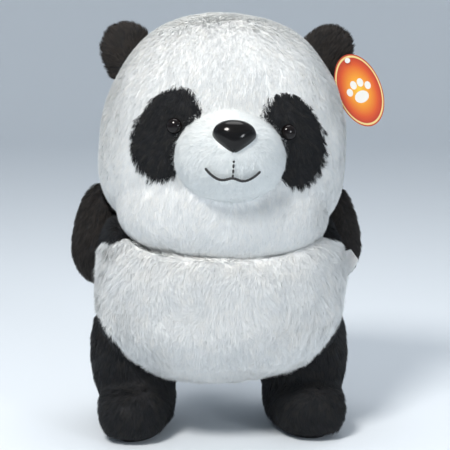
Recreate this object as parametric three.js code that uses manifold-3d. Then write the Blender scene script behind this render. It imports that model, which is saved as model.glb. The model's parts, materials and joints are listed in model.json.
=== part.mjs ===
// A stuffed panda that stands on two short legs. Millimetres, +Z up, the face towards -Y, the toy's left at +X.
// It is built from cloth covers with fibre stuffing inside them, plastic eyes and a nose held by
// washers on the inside, two cloth ears, a card tag on a plastic tack and a sewn-in ribbon label.
import * as THREE from 'three';
import { mergeVertices } from 'three/addons/utils/BufferGeometryUtils.js';
import Module from 'manifold-3d';

const wasm = await Module();
wasm.setup();

// Driving dimensions ---------------------------------------------------------------------------

// The toy's own middle line stands here in the frame, so that the frame's origin is under the
// middle of the whole toy with its nose, tail and tag.
const middle = { x: -7, y: 5.5 };

const gap = 0.4; // between two pieces that touch
const cloth = 3; // a cover's backing cloth with its pile pressed flat

const head = { z: 242, half: { x: 110, y: 97, top: 134, bottom: 74 }, power: 2.4 };
const head_base_z = 174; // the flat neck opening of the head
const head_room = { z: 242, half: { x: 115, y: 105, top: 140, bottom: 90 }, power: 2.4 };

const muzzle = { y: -87.3, z: 255, half: { x: 46, y: 38, top: 40, bottom: 31 }, power: 2.1 };
const nose = { z: 281, half: { x: 19, y: 13, top: 12, bottom: 15 }, power: 2.3 };
const nose_tilt = 28; // degrees the nose looks up
const nose_taper = 0.5; // how much narrower the nose gets towards its lower point
const stem = { radius: 2.5, length: 16 };
const washer = { radius: 9, thick: 1.5, play: 2.2 };

const eye = { x: 48, z: 282, radius: 7, bulge: 4.8, stem_radius: 1.8, stem_length: 11 };
const patch = { x: 54, z: 274, half_width: 27.5, half_height: 41, lean: 19, inner_cut: 0.3 };
const mouth = { thread: 1.1, z: 245, half_width: 23, rise: 10, stroke_top: 262 };

const ear = { x: 86, y: 14, z: 342, half: { x: 33, y: 8, top: 32, bottom: 32 }, power: 2.2 };
const ear_clearance = 3; // room for the ear to bend at its base seam

const trunk = { z: 130, half: { x: 111, y: 98, top: 84, bottom: 82 }, power: 2.3 };
const side_seam_y = 14;
const yoke_edge = { front_y: -80, front_z: 182, back_y: 90, back_z: 150 };
const neck = { radius: 22, z: 155.5, height: 14.5 };

const arm = { x: 104, y: 36, z: 161, half: { x: 28, y: 31, top: 47, bottom: 47 }, power: 2.2, lean: 10 };
const shoulder = { x: 101, z: 196 }; // the arm lifts about this front-to-back line
const arm_lift = [0, 10, 20, 30];

const hip = { x: 78, y: 6, z: 74, half: { x: 41, y: 54, top: 50, bottom: 66 }, power: 2.4 };
const foot = { x: 79, y: -26, z: 24, half: { x: 32, y: 60, top: 27, bottom: 27 }, power: 2.3, splay: 16 };
const hip_crease = { y: -46, z: 72 }; // the leg folds forward about this side-to-side line
const leg_fold = [0, 10, 20, 30, 40];
const sole_thick = 2.6;

// Facets round an egg and from its bottom to its top.
const head_facets = [28, 20];
const trunk_facets = [24, 16];
const limb_facets = [16, 12];
const lining_facets = [20, 14];
const limb_lining_facets = [14, 10];

const tail = { y: 106, z: 92, half: { x: 19, y: 16, top: 18, bottom: 18 }, power: 2 };
const label = { width: 19, reach: 14.5, thick: 1.2, y: -1.5, z: 146, droop: 14 };
const tag = {
  x: 125.5, y: -3, z: 306, half_width: 20, half_height: 34, thick: 1, lean: 23, hole_radius: 1.6, hole_inset: 5,
};
const tack = { wire: 0.7, head_radius: 2.4, head_thick: 1, bar_length: 9, bar_radius: 0.8 };

// Colours and surfaces -------------------------------------------------------------------------

const surfaces = {
  white_plush: { color: 0xe9ebe8, roughness: 0.95, metalness: 0 },
  black_plush: { color: 0x2a2a2c, roughness: 0.95, metalness: 0 },
  fibre: { color: 0xf2f2ee, roughness: 1, metalness: 0 },
  glossy_black: { color: 0x100d0c, roughness: 0.12, metalness: 0 },
  plain_plastic: { color: 0xd8d8d4, roughness: 0.6, metalness: 0 },
  black_thread: { color: 0x161616, roughness: 0.7, metalness: 0 },
  ribbon: { color: 0xf4f4f4, roughness: 0.5, metalness: 0 },
  card: { color: 0xd9541e, roughness: 0.45, metalness: 0 },
  clear_plastic: { color: 0xe6e6e6, roughness: 0.3, metalness: 0 },
};

// Shapes ---------------------------------------------------------------------------------------

const radians = THREE.MathUtils.degToRad;

// How far an egg reaches from its middle in a given direction.
function reach(direction, half, power) {
  const height = direction.z > 0 ? half.top : half.bottom;
  const sum =
    Math.abs(direction.x / half.x) ** power +
    Math.abs(direction.y / half.y) ** power +
    Math.abs(direction.z / height) ** power;
  return sum ** (-1 / power);
}

// An egg is a rounded solid with three half sizes, whose upper and lower halves may differ.
function egg(shape, grow, [across, up]) {
  const { half, power } = shape;
  const grown = { x: half.x + grow, y: half.y + grow, top: half.top + grow, bottom: half.bottom + grow };
  const geometry = new THREE.SphereGeometry(1, across, up);
  geometry.rotateX(Math.PI / 2);
  const points = geometry.attributes.position;
  const point = new THREE.Vector3();
  for (let i = 0; i < points.count; i += 1) {
    point.fromBufferAttribute(points, i).normalize();
    point.multiplyScalar(reach(point, grown, power));
    points.setXYZ(i, point.x, point.y, point.z);
  }
  return geometry;
}

// Where a line along Y through (x, z) meets the front of an egg, in the egg's own place.
function front_of(shape, x, z) {
  const { half, power } = shape;
  const height = z > shape.z ? half.top : half.bottom;
  const sum = Math.abs(x / half.x) ** power + Math.abs((z - shape.z) / height) ** power;
  return (shape.y || 0) - half.y * Math.max(0, 1 - sum) ** (1 / power);
}

// The outward direction of an egg's surface at a point of its front.
function outward(shape, x, y, z) {
  const { half, power } = shape;
  const height = z > shape.z ? half.top : half.bottom;
  const slope = (value, size) => (Math.sign(value) * Math.abs(value / size) ** (power - 1)) / size;
  return new THREE.Vector3(slope(x, half.x), slope(y - (shape.y || 0), half.y), slope(z - shape.z, height)).normalize();
}

// A closed three.js geometry as a solid that can be joined and cut.
function solid(geometry) {
  const bare = geometry.clone();
  bare.deleteAttribute('normal');
  bare.deleteAttribute('uv');
  const merged = mergeVertices(bare, 1e-3);
  const mesh = new wasm.Mesh({
    numProp: 3,
    vertProperties: new Float32Array(merged.attributes.position.array),
    triVerts: new Uint32Array(merged.index.array),
  });
  return new wasm.Manifold(mesh);
}

// A named mesh of a solid. Where cuts leave loose scraps beside the piece, the scraps are dropped.
function piece(name, body, surface) {
  const parts = body.decompose();
  const largest = parts.reduce((best, part) => (part.volume() > best.volume() ? part : best));
  const cut = largest.getMesh();
  const geometry = new THREE.BufferGeometry();
  geometry.setAttribute('position', new THREE.BufferAttribute(new Float32Array(cut.vertProperties), 3));
  geometry.setIndex(new THREE.BufferAttribute(new Uint32Array(cut.triVerts), 1));
  geometry.computeVertexNormals();
  const mesh = new THREE.Mesh(geometry, new THREE.MeshStandardMaterial(surfaces[surface]));
  mesh.name = name;
  return mesh;
}

// A block that reaches far sideways, from one height to another.
function slab(from_z, to_z) {
  const block = new THREE.BoxGeometry(900, 900, to_z - from_z);
  block.translate(0, 0, (from_z + to_z) / 2);
  return block;
}

// A round rod along a direction, from a start point.
function rod(radius, start, direction, length, sides = 16) {
  const geometry = new THREE.CylinderGeometry(radius, radius, length, sides);
  geometry.translate(0, length / 2, 0);
  const turn = new THREE.Quaternion().setFromUnitVectors(new THREE.Vector3(0, 1, 0), direction);
  geometry.applyQuaternion(turn);
  geometry.translate(start.x, start.y, start.z);
  return geometry;
}

// A geometry turned about a line through (x, y, z) that runs along the given axis.
function turned(geometry, axis, degrees, x, y, z) {
  const result = geometry.clone();
  result.translate(-x, -y, -z);
  result.applyQuaternion(new THREE.Quaternion().setFromAxisAngle(axis, radians(degrees)));
  result.translate(x, y, z);
  return result;
}

const along_x = new THREE.Vector3(1, 0, 0);
const along_y = new THREE.Vector3(0, 1, 0);
const along_z = new THREE.Vector3(0, 0, 1);

function head_egg(grow, facets = head_facets) {
  return egg(head, grow, facets).translate(0, 0, head.z);
}

function head_room_egg(grow) {
  return egg(head_room, grow, trunk_facets).translate(0, 0, head_room.z);
}

function trunk_egg(grow, facets = trunk_facets) {
  return egg(trunk, grow, facets).translate(0, 0, trunk.z);
}

// Head -----------------------------------------------------------------------------------------

// The outline of an eye patch in the face's plane, for the side at +X or -X: an egg that leans
// outwards and downwards, blunt at the top and flattened beside the muzzle.
function patch_outline(side, grow) {
  const shape = new THREE.Shape();
  const steps = 26;
  for (let i = 0; i < steps; i += 1) {
    const angle = (2 * Math.PI * i) / steps;
    const flatten = 1 - patch.inner_cut * Math.max(0, -Math.cos(angle)) ** 3 * (0.5 - 0.5 * Math.sin(angle));
    const wide = (patch.half_width + grow) * Math.cos(angle) * flatten * (1 - 0.1 * Math.sin(angle));
    const high = (patch.half_height + grow) * Math.sin(angle);
    const lean = radians(patch.lean);
    const x = patch.x + wide * Math.cos(lean) - high * Math.sin(lean);
    const z = patch.z + wide * Math.sin(lean) + high * Math.cos(lean);
    shape[i ? 'lineTo' : 'moveTo'](side * x, z);
  }
  shape.closePath();
  return shape;
}

// A prism of the patch's outline that runs through the front half of the head.
function patch_prism(side, grow) {
  const geometry = new THREE.ExtrudeGeometry(patch_outline(side, grow), { depth: 160, bevelEnabled: false });
  geometry.rotateX(Math.PI / 2);
  return geometry;
}

// A plastic eye and its washer: a glossy dome whose stem goes through the cloth.
function eye_parts(side) {
  const x = side * eye.x;
  const y = front_of(head, x, eye.z);
  const out = outward(head, x, y, eye.z);
  const seat = new THREE.Vector3(x, y, eye.z).addScaledVector(out, gap);
  const profile = [new THREE.Vector2(0, -eye.stem_length), new THREE.Vector2(eye.stem_radius, -eye.stem_length)];
  profile.push(new THREE.Vector2(eye.stem_radius, 0));
  const steps = 7;
  for (let i = 0; i < steps; i += 1) {
    const angle = (Math.PI / 2) * (i / steps);
    profile.push(new THREE.Vector2(eye.radius * Math.cos(angle), 0.6 + eye.bulge * Math.sin(angle)));
  }
  profile.push(new THREE.Vector2(0, 0.6 + eye.bulge));
  const dome = new THREE.LatheGeometry(profile, 20);
  const turn = new THREE.Quaternion().setFromUnitVectors(along_y, out);
  dome.applyQuaternion(turn);
  dome.translate(seat.x, seat.y, seat.z);
  const depth = gap + cloth + washer.play + washer.thick;
  const back = seat.clone().addScaledVector(out, -depth);
  const disc = solid(rod(washer.radius, back, out, washer.thick));
  const bore = solid(rod(eye.stem_radius + gap, seat.clone().addScaledVector(out, -20), out, 22));
  const pocket_start = seat.clone().addScaledVector(out, -eye.stem_length - 2);
  const pocket = solid(rod(washer.radius + 1, pocket_start, out, eye.stem_length + 2));
  return { dome: solid(dome), disc: disc.subtract(bore), bore, pocket };
}

// The muzzle's outer skin, grown or shrunk.
function muzzle_egg(grow, facets = lining_facets) {
  return egg(muzzle, grow, facets).translate(0, muzzle.y, muzzle.z);
}

// The nose: a rounded triangle, wide at the top, with a stem into the muzzle.
function nose_parts() {
  const front_y = front_of(muzzle, 0, nose.z);
  const out = new THREE.Vector3(0, -1, 0).applyAxisAngle(along_x, radians(-nose_tilt));
  const button = egg(nose, 0, lining_facets);
  const points = button.attributes.position;
  for (let i = 0; i < points.count; i += 1) {
    const fall = Math.max(0, -points.getZ(i) / nose.half.bottom);
    points.setX(i, points.getX(i) * (1 - nose_taper * fall ** 1.4));
  }
  button.rotateX(radians(-nose_tilt));
  button.translate(0, front_y - 2, nose.z);
  const start = new THREE.Vector3(0, front_y, nose.z).addScaledVector(out, -stem.length);
  const shaft = solid(rod(stem.radius, start, out, stem.length + 2));
  const seat = new THREE.Vector3(0, front_y, nose.z);
  const back = seat.clone().addScaledVector(out, -(cloth + 6.5 + washer.thick));
  const bore = solid(rod(stem.radius + gap, start.clone().addScaledVector(out, -3), out, stem.length + 12));
  const disc = solid(rod(washer.radius, back, out, washer.thick)).subtract(bore);
  const pocket = solid(rod(washer.radius + 1, start.clone().addScaledVector(out, -1), out, stem.length - 1));
  const button_only = solid(button).subtract(solid(muzzle_egg(gap)));
  return { button: button_only.add(shaft), disc, bore, pocket };
}

// One stitched line that lies on the muzzle and passes through the given (x, z) points.
function stitched_line(points) {
  const route = points.map(([x, z]) => {
    const y = front_of(muzzle, x, z);
    const lift = mouth.thread + gap;
    return new THREE.Vector3(x, y, z).addScaledVector(outward(muzzle, x, y, z), lift);
  });
  const section = new THREE.Shape();
  section.absarc(0, 0, mouth.thread, 0, 2 * Math.PI, false);
  const path = new THREE.CatmullRomCurve3(route);
  return new THREE.ExtrudeGeometry(section, { extrudePath: path, steps: 16, curveSegments: 3, bevelEnabled: false });
}

// The smile and the short upright stitch above its middle.
function mouth_stitches() {
  const smile = [];
  const steps = 8;
  for (let i = 0; i <= steps; i += 1) {
    const across = -1 + (2 * i) / steps;
    smile.push([mouth.half_width * across, mouth.z + mouth.rise * Math.abs(across) ** 1.7]);
  }
  const upright = [
    [0, mouth.z],
    [0, (mouth.z + mouth.stroke_top) / 2],
    [0, mouth.stroke_top],
  ];
  return solid(stitched_line(smile)).add(solid(stitched_line(upright)));
}

function ear_solid(side) {
  const disc = egg(ear, 0, lining_facets);
  disc.rotateY(radians(side * 42));
  disc.translate(side * ear.x, ear.y, ear.z);
  return solid(disc).subtract(solid(head_egg(ear_clearance)));
}

function make_head() {
  const group = new THREE.Group();
  const below = solid(slab(-50, head_base_z));
  const outer = solid(head_egg(0)).subtract(below);
  const inner = solid(head_egg(-cloth, lining_facets));
  const nose_bits = nose_parts();
  let cover = outer.subtract(inner);
  let stuffing = solid(head_egg(-cloth - gap, lining_facets)).subtract(solid(slab(-50, head_base_z + gap)));
  for (const [side, word] of [[1, 'left'], [-1, 'right']]) {
    const bits = eye_parts(side);
    const panel = cover.intersect(solid(patch_prism(side, 0))).subtract(bits.bore);
    cover = cover.subtract(solid(patch_prism(side, gap)));
    stuffing = stuffing.subtract(bits.pocket);
    group.add(piece(`eye_patch_${word}`, panel, 'black_plush'));
    group.add(piece(`eye_${word}`, bits.dome, 'glossy_black'));
    group.add(piece(`eye_washer_${word}`, bits.disc, 'plain_plastic'));
  }
  group.add(piece('head_cover', cover, 'white_plush'));
  group.add(piece('head_stuffing', stuffing, 'fibre'));

  const clear_of_head = solid(head_egg(gap));
  const muzzle_shell = solid(muzzle_egg(0)).subtract(solid(muzzle_egg(-cloth))).subtract(clear_of_head);
  group.add(piece('muzzle_cover', muzzle_shell.subtract(nose_bits.bore), 'white_plush'));
  const muzzle_fill = solid(muzzle_egg(-cloth - gap)).subtract(clear_of_head);
  group.add(piece('muzzle_stuffing', muzzle_fill.subtract(nose_bits.pocket), 'fibre'));
  group.add(piece('nose', nose_bits.button, 'glossy_black'));
  group.add(piece('nose_washer', nose_bits.disc, 'plain_plastic'));
  group.add(piece('mouth_stitching', mouth_stitches(), 'black_thread'));
  return group;
}

// Ears and tag ---------------------------------------------------------------------------------

// The oval card with its hole, in its own plane at the origin, facing -Y.
function tag_card() {
  const outline = new THREE.Shape();
  outline.absellipse(0, 0, tag.half_width, tag.half_height, 0, 2 * Math.PI, false);
  const hole = new THREE.Path();
  hole.absarc(0, tag.half_height - tag.hole_inset, tag.hole_radius, 0, 2 * Math.PI, true);
  outline.holes.push(hole);
  const card = new THREE.ExtrudeGeometry(outline, { depth: tag.thick, bevelEnabled: false, curveSegments: 20 });
  card.rotateX(Math.PI / 2);
  card.rotateY(radians(-tag.lean));
  card.translate(tag.x, tag.y, tag.z);
  return card;
}

// The middle of the tag's hole.
function tag_pin() {
  const drop = tag.half_height - tag.hole_inset;
  const lean = radians(tag.lean);
  return { x: tag.x - drop * Math.sin(lean), z: tag.z + drop * Math.cos(lean) };
}

// The tack that holds the tag: a thin wire through the ear, a round head in front of the card
// and a cross bar behind the ear.
function tag_tack() {
  const pin = tag_pin();
  const front_y = tag.y - tag.thick - gap - tack.head_thick;
  const back_y = ear.y + ear.half.y + 2;
  const start = new THREE.Vector3(pin.x, front_y, pin.z);
  const wire = solid(rod(tack.wire, start, along_y, back_y - front_y, 10));
  const round_head = solid(rod(tack.head_radius, start, along_y, tack.head_thick, 14));
  const bar_start = new THREE.Vector3(pin.x, back_y, pin.z - tack.bar_length / 2);
  const bar = solid(rod(tack.bar_radius, bar_start, along_z, tack.bar_length, 10));
  return wire.add(round_head).add(bar);
}

function make_ears() {
  const group = new THREE.Group();
  const pin = tag_pin();
  const start = new THREE.Vector3(pin.x, ear.y - 20, pin.z);
  const hole = solid(rod(tack.wire + gap, start, along_y, 40, 10));
  group.add(piece('ear_left', ear_solid(1).subtract(hole), 'black_plush'));
  group.add(piece('ear_right', ear_solid(-1), 'black_plush'));
  group.add(piece('hang_tag', solid(tag_card()), 'card'));
  group.add(piece('tag_tack', tag_tack(), 'clear_plastic'));
  return group;
}

// Trunk ----------------------------------------------------------------------------------------

// Everything above the yoke's lower edge, a plane that falls towards the back, raised by an amount.
function above_yoke_edge(raise) {
  const { front_y, front_z, back_y, back_z } = yoke_edge;
  const tilt = Math.atan2(back_z - front_z, back_y - front_y);
  const block = new THREE.BoxGeometry(900, 900, 400);
  block.translate(0, 0, 200 + raise);
  block.rotateX(tilt);
  block.translate(0, (front_y + back_y) / 2, (front_z + back_z) / 2);
  return block;
}

// Everything behind the side seams.
function behind_seam(shift) {
  const block = new THREE.BoxGeometry(900, 400, 900);
  block.translate(0, 200 + side_seam_y + shift, 0);
  return block;
}

function make_trunk() {
  const group = new THREE.Group();
  const plug_start = new THREE.Vector3(0, 0, neck.z);
  const plug = solid(rod(neck.radius, plug_start, along_z, neck.height, 24));
  const neck_hole = solid(rod(neck.radius + gap, new THREE.Vector3(0, 0, neck.z - gap), along_z, 40, 24));
  const hollow = solid(trunk_egg(-cloth, lining_facets)).subtract(solid(head_room_egg(cloth)));
  const outer = solid(trunk_egg(0)).subtract(solid(head_room_egg(0)));
  const shell = outer.subtract(hollow).subtract(neck_hole);
  const lower = shell.subtract(solid(above_yoke_edge(-gap)));
  group.add(piece('shoulder_yoke', shell.intersect(solid(above_yoke_edge(0))), 'black_plush'));
  group.add(piece('belly_cover', lower.subtract(solid(behind_seam(-gap))), 'white_plush'));
  group.add(piece('back_cover', lower.intersect(solid(behind_seam(0))), 'white_plush'));
  const fill = solid(trunk_egg(-cloth - gap, lining_facets));
  const stuffing = fill.subtract(solid(head_room_egg(cloth + gap)));
  group.add(piece('body_stuffing', stuffing.subtract(neck_hole), 'fibre'));
  group.add(piece('neck_stuffing', plug, 'fibre'));

  const ball = egg(tail, 0, limb_facets).translate(0, tail.y, tail.z);
  group.add(piece('tail', solid(ball).subtract(solid(trunk_egg(gap))), 'white_plush'));
  group.add(piece('care_label', ribbon_label(), 'ribbon'));
  return group;
}

// The sewn-in ribbon label: a folded loop that sticks out of the left side seam, seen from the front.
function ribbon_label() {
  const side_x = -front_of({ ...trunk, half: { ...trunk.half, y: trunk.half.x, x: trunk.half.y } }, label.y, label.z);
  const fold = new THREE.BoxGeometry(label.reach, label.thick, label.width);
  fold.translate(label.reach / 2, 0, 0);
  fold.rotateY(radians(label.droop));
  fold.translate(side_x - 2, label.y, label.z);
  return solid(fold).subtract(solid(trunk_egg(gap)));
}

// Arms -----------------------------------------------------------------------------------------

function make_arm(side, word) {
  const group = new THREE.Group();
  const shape = (grow, facets) => {
    const geometry = egg(arm, grow, facets);
    geometry.rotateY(radians(-side * arm.lean));
    geometry.translate(side * arm.x, arm.y, arm.z);
    return solid(geometry);
  };
  // The arm's inner side is cut clear of the trunk and the head in every position of its travel.
  const cleared = (body, room) => {
    let result = body;
    for (const lift of arm_lift) {
      for (const [geometry, grow] of [[trunk_egg, room], [head_room_egg, 1]]) {
        const obstacle = turned(geometry(grow), along_y, side * lift, side * shoulder.x, 0, shoulder.z);
        result = result.subtract(solid(obstacle));
      }
    }
    return result;
  };
  const outer = cleared(shape(0, limb_facets), gap + 0.3);
  group.add(piece(`arm_cover_${word}`, outer.subtract(shape(-cloth, limb_lining_facets)), 'black_plush'));
  group.add(piece(`arm_stuffing_${word}`, cleared(shape(-cloth - gap, limb_lining_facets), gap + 1), 'fibre'));
  return group;
}

// Legs -----------------------------------------------------------------------------------------

function make_leg(side, word) {
  const group = new THREE.Group();
  const shape = (grow, facets) => {
    const upper = egg(hip, grow, facets).translate(side * hip.x, hip.y, hip.z);
    const lower = egg(foot, grow, facets);
    lower.rotateZ(radians(side * foot.splay));
    lower.translate(side * foot.x, foot.y, foot.z);
    return solid(upper).add(solid(lower));
  };
  const cleared = (body, room) => {
    let result = body;
    for (const fold of leg_fold) {
      const obstacle = turned(trunk_egg(room), along_x, fold, 0, hip_crease.y, hip_crease.z);
      result = result.subtract(solid(obstacle));
    }
    return result;
  };
  const outer = cleared(shape(0, limb_facets), gap + 0.3);
  const raised = outer.subtract(solid(slab(-60, sole_thick + gap)));
  group.add(piece(`leg_cover_${word}`, raised.subtract(shape(-cloth, limb_lining_facets)), 'black_plush'));
  const stuffing = cleared(shape(-cloth - gap, limb_lining_facets), gap + 1);
  const filled = stuffing.subtract(solid(slab(-60, sole_thick + gap)));
  group.add(piece(`leg_stuffing_${word}`, filled, 'fibre'));
  const below = solid(slab(sole_thick, 300)).add(solid(slab(-60, 0)));
  group.add(piece(`sole_${word}`, outer.subtract(below), 'black_plush'));
  return group;
}

// The whole toy --------------------------------------------------------------------------------

const panda = new THREE.Group();
panda.add(make_head(), make_ears(), make_trunk());
panda.add(make_arm(1, 'left'), make_arm(-1, 'right'));
panda.add(make_leg(1, 'left'), make_leg(-1, 'right'));
panda.position.set(middle.x, middle.y, 0);

const group = new THREE.Group();
group.add(panda);

export default group;
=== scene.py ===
"""The looks of a stuffed panda: cloth skins, pile made of real blades, eyes, nose, stitches, tag, label."""

import json
import math

import bmesh
import bpy
import numpy as np
from mathutils import Matrix, Vector, kdtree
from mathutils.bvhtree import BVHTree


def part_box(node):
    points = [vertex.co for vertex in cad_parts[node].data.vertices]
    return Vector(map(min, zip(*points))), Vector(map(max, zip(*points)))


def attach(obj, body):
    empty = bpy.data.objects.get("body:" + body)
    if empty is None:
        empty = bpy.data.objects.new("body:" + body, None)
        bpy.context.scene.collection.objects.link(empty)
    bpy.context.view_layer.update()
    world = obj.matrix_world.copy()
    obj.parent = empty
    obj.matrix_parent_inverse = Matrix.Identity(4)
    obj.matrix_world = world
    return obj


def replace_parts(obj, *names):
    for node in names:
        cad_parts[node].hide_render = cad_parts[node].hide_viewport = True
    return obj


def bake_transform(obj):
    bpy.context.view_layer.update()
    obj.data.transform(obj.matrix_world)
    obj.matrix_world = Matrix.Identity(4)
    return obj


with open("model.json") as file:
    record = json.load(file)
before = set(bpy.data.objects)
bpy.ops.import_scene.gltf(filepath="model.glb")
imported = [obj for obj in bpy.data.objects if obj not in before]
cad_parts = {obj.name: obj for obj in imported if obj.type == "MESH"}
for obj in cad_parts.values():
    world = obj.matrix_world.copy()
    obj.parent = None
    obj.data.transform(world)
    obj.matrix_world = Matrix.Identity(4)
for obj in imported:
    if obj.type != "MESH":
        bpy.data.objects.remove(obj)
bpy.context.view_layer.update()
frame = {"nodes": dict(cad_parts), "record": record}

MM = 0.001
UP = np.array([0.0, 0.0, 1.0])
SIDES = ((1, "left"), (-1, "right"))


def middle_of(*nodes):
    """The middle of the box round some CAD nodes."""
    boxes = [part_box(node) for node in nodes]
    low = Vector(map(min, *(b[0] for b in boxes))) if len(boxes) > 1 else boxes[0][0]
    high = Vector(map(max, *(b[1] for b in boxes))) if len(boxes) > 1 else boxes[0][1]
    return (low + high) / 2


# The toy's own middle line: halfway between its feet and in the middle of its head.
OWN = Vector((middle_of("sole_left", "sole_right").x, middle_of("head_cover").y, 0.0))
OWN_MIDDLE = np.array(OWN)


def own(x, y, z):
    """A point given in millimetres from the toy's own middle line, as numbers in the frame."""
    return np.array([OWN.x + x * MM, OWN.y + y * MM, z * MM])


def add_object(name, data):
    obj = bpy.data.objects.new(name, data)
    bpy.context.collection.objects.link(obj)
    return obj


def ring_faces(rows, sides, start=0):
    """The four-sided faces that join rings of points, whose first point has the number start."""
    faces = []
    for row in range(rows - 1):
        for i in range(sides):
            a, b = start + row * sides + i, start + row * sides + (i + 1) % sides
            faces.append([a, b, b + sides, a + sides])
    return faces


# ---------------------------------------------------------------------------------------------
# Camera, floor and light


def make_camera():
    data = bpy.data.cameras.new("camera")
    data.lens = 116
    data.sensor_width = 36
    camera = add_object("camera", data)
    azimuth, elevation, distance = math.radians(-4), math.radians(9), 1.31
    target = Vector(own(5.4, 0, 185))
    level = math.cos(elevation)
    back = Vector((math.sin(azimuth) * level, -math.cos(azimuth) * level, math.sin(elevation)))
    camera.location = target + back * distance
    camera.rotation_euler = back.to_track_quat("Z", "Y").to_euler()
    bpy.context.scene.camera = camera


def make_lamp(name, place, size, power, colour):
    data = bpy.data.lights.new(name, "AREA")
    data.shape = "DISK"
    data.size = size
    data.energy = power
    data.color = colour
    lamp = add_object(name, data)
    lamp.location = place
    towards = Vector(own(0, 0, 190)) - lamp.location
    lamp.rotation_euler = towards.to_track_quat("-Z", "Y").to_euler()


def make_backdrop():
    """A pale round floor that curves up into a wall far behind the toy on every side."""
    flat, bend, wall_height, steps, sides = 2.6, 1.6, 3.0, 10, 64
    profile = [(0.0, 0.0), (1.0, 0.0), (flat, 0.0)]
    for i in range(1, steps + 1):
        angle = math.pi / 2 * i / steps
        profile.append((flat + bend * math.sin(angle), bend - bend * math.cos(angle)))
    profile.append((flat + bend, wall_height))
    points = []
    for radius, height in profile:
        for i in range(sides):
            angle = 2 * math.pi * i / sides
            points.append((radius * math.cos(angle), radius * math.sin(angle), height))
    mesh = bpy.data.meshes.new("backdrop")
    mesh.from_pydata(points, [], ring_faces(len(profile), sides))
    mesh.shade_smooth()
    floor = add_object("backdrop", mesh)
    paint = bpy.data.materials.new("backdrop_paint")
    paint.use_nodes = True
    shader = paint.node_tree.nodes["Principled BSDF"]
    shader.inputs["Base Color"].default_value = (0.74, 0.79, 0.84, 1)
    shader.inputs["Roughness"].default_value = 0.9
    shader.inputs["Specular IOR Level"].default_value = 0.1
    mesh.materials.append(paint)


def make_studio():
    make_backdrop()
    world = bpy.data.worlds.new("studio")
    world.use_nodes = True
    set_inputs(world.node_tree.nodes["Background"], {"Color": (0.90, 0.95, 1.0, 1), "Strength": 0.5})
    bpy.context.scene.world = world
    bpy.context.scene.view_settings.view_transform = "Standard"
    make_lamp("key", (-0.7, -1.2, 1.7), size=0.55, power=38, colour=(1.0, 0.97, 0.93))
    make_lamp("fill", (1.2, -1.7, 0.7), size=0.5, power=9, colour=(0.92, 0.96, 1.0))
    make_lamp("top", (0.1, 0.3, 1.7), size=1.0, power=7, colour=(1.0, 1.0, 1.0))


# ---------------------------------------------------------------------------------------------
# Materials


def new_material(name):
    material = bpy.data.materials.new(name)
    material.use_nodes = True
    tree = material.node_tree
    return material, tree, tree.nodes["Principled BSDF"]


def set_inputs(node, values):
    for name, value in values.items():
        node.inputs[name].default_value = value


def pile_material(name, colour, roughness, sheen, sheen_tint):
    """One tint of pile. Every blade has its own tint out of a few, so the colour itself is plain."""
    material, _, shader = new_material(name)
    look = {"Base Color": (*colour, 1), "Roughness": roughness, "Specular IOR Level": 0.25}
    sheen_look = {"Sheen Weight": sheen, "Sheen Roughness": 0.4, "Sheen Tint": (*sheen_tint, 1)}
    set_inputs(shader, {**look, **sheen_look})
    return material


def add_node(tree, kind, **settings):
    node = tree.nodes.new(kind)
    for key, value in settings.items():
        setattr(node, key, value)
    return node


def add_noise(tree, place, scale):
    """Noise in the object's own axes."""
    noise = add_node(tree, "ShaderNodeTexNoise")
    noise.inputs["Scale"].default_value = scale
    tree.links.new(place.outputs["Object"], noise.inputs["Vector"])
    return noise


def add_bump(tree, shader, noise, height, strength):
    """A bump that follows the noise. The height is in metres."""
    bump = add_node(tree, "ShaderNodeBump")
    set_inputs(bump, {"Distance": height, "Strength": strength})
    tree.links.new(noise.outputs["Fac"], bump.inputs["Height"])
    tree.links.new(bump.outputs["Normal"], shader.inputs["Normal"])


def add_ramp(tree, stops):
    """A ramp through colours, from (position, colour) stops."""
    ramp = add_node(tree, "ShaderNodeValToRGB")
    elements = ramp.color_ramp.elements
    elements[0].position, elements[0].color = stops[0][0], (*stops[0][1], 1)
    elements[1].position, elements[1].color = stops[-1][0], (*stops[-1][1], 1)
    for position, colour in stops[1:-1]:
        elements.new(position).color = (*colour, 1)
    return ramp


def mottled(name, dark, light, scales, roughness, height):
    """Cloth whose colour wanders between two tones, with a fine bump of a height in metres.
    scales are those of the colour's noise and of the bump's."""
    material, tree, shader = new_material(name)
    place = add_node(tree, "ShaderNodeTexCoord")
    blotch, grain = [add_noise(tree, place, scale) for scale in scales]
    blotch.inputs["Detail"].default_value = 4
    ramp = add_ramp(tree, [(0.3, dark), (0.7, light)])
    tree.links.new(blotch.outputs["Fac"], ramp.inputs["Fac"])
    tree.links.new(ramp.outputs["Color"], shader.inputs["Base Color"])
    add_bump(tree, shader, grain, height, 0.8)
    shader.inputs["Roughness"].default_value = roughness
    return material


def glossy_material(name, colour, roughness, shine):
    """Moulded plastic with a faint ripple."""
    material, tree, shader = new_material(name)
    ripple = add_noise(tree, add_node(tree, "ShaderNodeTexCoord"), 260)
    add_bump(tree, shader, ripple, 0.00004, 0.4)
    set_inputs(shader, {"Base Color": (*colour, 1), "Roughness": roughness, "Specular IOR Level": shine})
    return material


def pile_tints(name, *tints):
    """The tints of one kind of pile, each from its colour, roughness, sheen and the sheen's colour."""
    return [pile_material(f"{name}_pile_{i}", *tint) for i, tint in enumerate(tints, 1)]


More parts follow.
